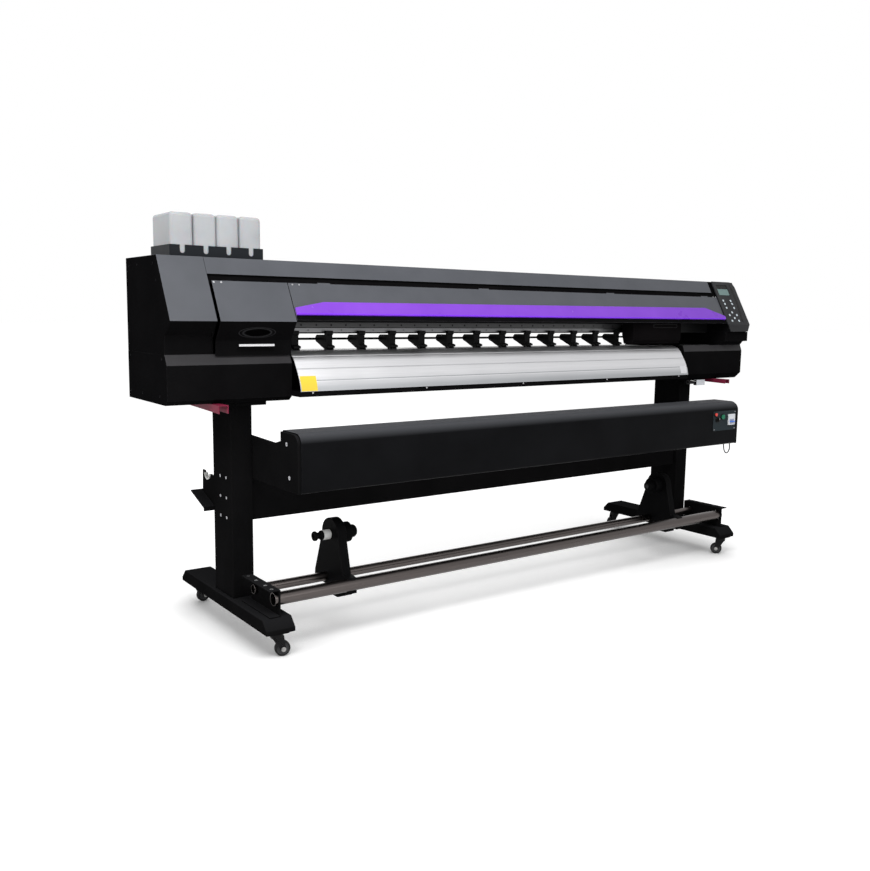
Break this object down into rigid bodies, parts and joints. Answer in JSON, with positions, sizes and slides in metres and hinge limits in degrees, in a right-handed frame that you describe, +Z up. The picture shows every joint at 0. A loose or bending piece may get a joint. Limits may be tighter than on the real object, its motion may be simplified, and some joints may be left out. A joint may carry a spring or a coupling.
{
  "type": "wide-format roll printer",
  "caption": "Wide roll inkjet printer on a two-column castor stand, with ink bottles on top, a front dryer and a tube-mounted take-up.",
  "frame": {"origin": "on the floor, under the centre of the bounding box", "axes": "+X along the print width to the operator's right, +Y to the machine's rear, +Z up"},
  "size_m": [2.792, 0.7821, 1.372],
  "materials": {
    "black_paint": "satin black powder coat",
    "black_plastic": "satin moulded",
    "grey_cover": "satin grey-black paint",
    "silver": "brushed, clear anodised",
    "steel": "ground and polished",
    "rubber": "matte",
    "white_plastic": "moulded",
    "bottle": "translucent natural polyethylene",
    "crimson": "satin paint",
    "blue": "moulded",
    "green": "moulded",
    "red": "moulded"
  },
  "bodies": {
    "machine": {"foot_left": "black_paint", "column_left": "black_paint", "tube_bracket_left": "black_paint", "feed_bracket_left": "black_paint", "dryer_arm_left": "black_paint", "channel_left": "crimson", "foot_right": "black_paint", "column_right": "black_paint", "tube_bracket_right": "black_paint", "feed_bracket_right": "black_paint", "dryer_arm_right": "black_paint", "channel_right": "crimson", "tube_front": "steel", "tube_rear": "steel", "cross_beam": "black_paint", "dryer_housing": "black_paint", "chassis_beam": "black_paint", "housing_left": "black_paint", "housing_right": "black_paint", "platen": "black_paint", "pinch_beam": "black_paint", "drive_motor": "black_paint", "left_panel": "grey_cover", "top_cover": "grey_cover", "control_plate": "grey_cover", "console": "black_plastic", "ink_rack": "black_plastic", "front_guide": "silver", "belt": "rubber", "cable_loop": "rubber", "breaker": "white_plastic", "ink_bottle_1": "bottle", "ink_bottle_2": "bottle", "ink_bottle_3": "bottle", "ink_bottle_4": "bottle"},
    "swivel_front_left": {"castor_fork_front_left": "black_paint"},
    "swivel_front_right": {"castor_fork_front_right": "black_paint"},
    "swivel_rear_left": {"castor_fork_rear_left": "black_paint"},
    "swivel_rear_right": {"castor_fork_rear_right": "black_paint"},
    "wheel_front_left": {"castor_wheel_front_left": "rubber"},
    "wheel_front_right": {"castor_wheel_front_right": "rubber"},
    "wheel_rear_left": {"castor_wheel_rear_left": "rubber"},
    "wheel_rear_right": {"castor_wheel_rear_right": "rubber"},
    "front_cover": {"front_cover": "grey_cover"},
    "maintenance_cover": {"maintenance_cover": "grey_cover", "maintenance_handle": "silver"},
    "carriage": {"carriage": "black_plastic"},
    "grit_roller": {"grit_roller": "steel"},
    "lift_lever": {"lift_lever": "black_plastic"},
    "pinch_arms": {"pinch_arms": "black_plastic"},
    "capping_station": {"capping_station": "rubber"},
    "tower_left": {"tower_left": "black_plastic"},
    "tower_right": {"tower_right": "black_plastic"},
    "spindle_left": {"chuck_left": "black_plastic", "tension_knob": "black_plastic"},
    "spindle_right": {"chuck_right": "black_plastic"},
    "red_button": {"red_button": "red"},
    "green_button": {"green_button": "green"},
    "selector_knob": {"selector_knob": "black_plastic"},
    "breaker_toggle": {"breaker_toggle": "blue"}
  },
  "joints": [
    {"name": "swivel_front_left_turn", "type": "hinge", "parent": "machine", "child": "swivel_front_left", "pos_m": [-1.117, -0.292, 0.06], "axis": [0, 0, 1], "continuous": true},
    {"name": "wheel_front_left_spin", "type": "hinge", "parent": "swivel_front_left", "child": "wheel_front_left", "pos_m": [-1.09927, -0.29513, 0.025], "axis": [0.1736, 0.9848, 0], "continuous": true},
    {"name": "swivel_front_right_turn", "type": "hinge", "parent": "machine", "child": "swivel_front_right", "pos_m": [1.117, -0.292, 0.06], "axis": [0, 0, 1], "continuous": true},
    {"name": "wheel_front_right_spin", "type": "hinge", "parent": "swivel_front_right", "child": "wheel_front_right", "pos_m": [1.10642, -0.27744, 0.025], "axis": [-0.809, -0.5878, 0], "continuous": true},
    {"name": "swivel_rear_left_turn", "type": "hinge", "parent": "machine", "child": "swivel_rear_left", "pos_m": [-1.117, 0.358, 0.06], "axis": [0, 0, 1], "continuous": true},
    {"name": "wheel_rear_left_spin", "type": "hinge", "parent": "swivel_rear_left", "child": "wheel_rear_left", "pos_m": [-1.09927, 0.36113, 0.025], "axis": [-0.1736, 0.9848, 0], "continuous": true},
    {"name": "swivel_rear_right_turn", "type": "hinge", "parent": "machine", "child": "swivel_rear_right", "pos_m": [1.117, 0.358, 0.06], "axis": [0, 0, 1], "continuous": true},
    {"name": "wheel_rear_right_spin", "type": "hinge", "parent": "swivel_rear_right", "child": "wheel_rear_right", "pos_m": [1.09927, 0.36113, 0.025], "axis": [-0.1736, -0.9848, 0], "continuous": true},
    {"name": "front_cover_hinge", "type": "hinge", "parent": "machine", "child": "front_cover", "pos_m": [0, -0.11518, 1.172], "axis": [-1, 0, 0], "range_deg": [0, 80]},
    {"name": "maintenance_cover_hinge", "type": "hinge", "parent": "machine", "child": "maintenance_cover", "pos_m": [-1.1, -0.11518, 1.172], "axis": [-1, 0, 0], "range_deg": [0, 80]},
    {"name": "carriage_slide", "type": "slide", "parent": "machine", "child": "carriage", "axis": [1, 0, 0], "range_m": [-1.58, 0.27]},
    {"name": "grit_roller_spin", "type": "hinge", "parent": "machine", "child": "grit_roller", "pos_m": [0, -0.077, 0.9305], "axis": [1, 0, 0], "continuous": true},
    {"name": "lift_lever_turn", "type": "hinge", "parent": "machine", "child": "lift_lever", "pos_m": [1.041, -0.119, 0.78], "axis": [0, 1, 0], "range_deg": [0, 30]},
    {"name": "pinch_arms_lift", "type": "hinge", "parent": "machine", "child": "pinch_arms", "pos_m": [0, -0.012, 0.985], "axis": [-1, 0, 0], "range_deg": [0, 4]},
    {"name": "capping_lift", "type": "slide", "parent": "machine", "child": "capping_station", "axis": [0, 0, 1], "range_m": [0, 0.006]},
    {"name": "tower_left_slide", "type": "slide", "parent": "machine", "child": "tower_left", "axis": [1, 0, 0], "range_m": [-0.15, 0.7]},
    {"name": "tower_right_slide", "type": "slide", "parent": "machine", "child": "tower_right", "axis": [-1, 0, 0], "range_m": [-0.15, 0.7]},
    {"name": "spindle_left_spin", "type": "hinge", "parent": "tower_left", "child": "spindle_left", "pos_m": [-0.85, -0.157, 0.33], "axis": [1, 0, 0], "continuous": true},
    {"name": "spindle_right_spin", "type": "hinge", "parent": "tower_right", "child": "spindle_right", "pos_m": [0.85, -0.157, 0.33], "axis": [1, 0, 0], "continuous": true},
    {"name": "red_button_press", "type": "slide", "parent": "machine", "child": "red_button", "axis": [0, 1, 0], "range_m": [0, 0.002], "stiffness_N_per_m": 400},
    {"name": "green_button_press", "type": "slide", "parent": "machine", "child": "green_button", "axis": [0, 1, 0], "range_m": [0, 0.002], "stiffness_N_per_m": 400},
    {"name": "selector_turn", "type": "hinge", "parent": "machine", "child": "selector_knob", "pos_m": [0.926, -0.378, 0.64], "axis": [0, -1, 0], "range_deg": [-45, 45]},
    {"name": "breaker_toggle_turn", "type": "hinge", "parent": "machine", "child": "breaker_toggle", "pos_m": [1.021, -0.3818, 0.628], "axis": [1, 0, 0], "range_deg": [-25, 25]}
  ],
  "couplings": [
    {"joint": "pinch_arms_lift", "follows": "lift_lever_turn", "ratio": 0.13333}
  ]
}
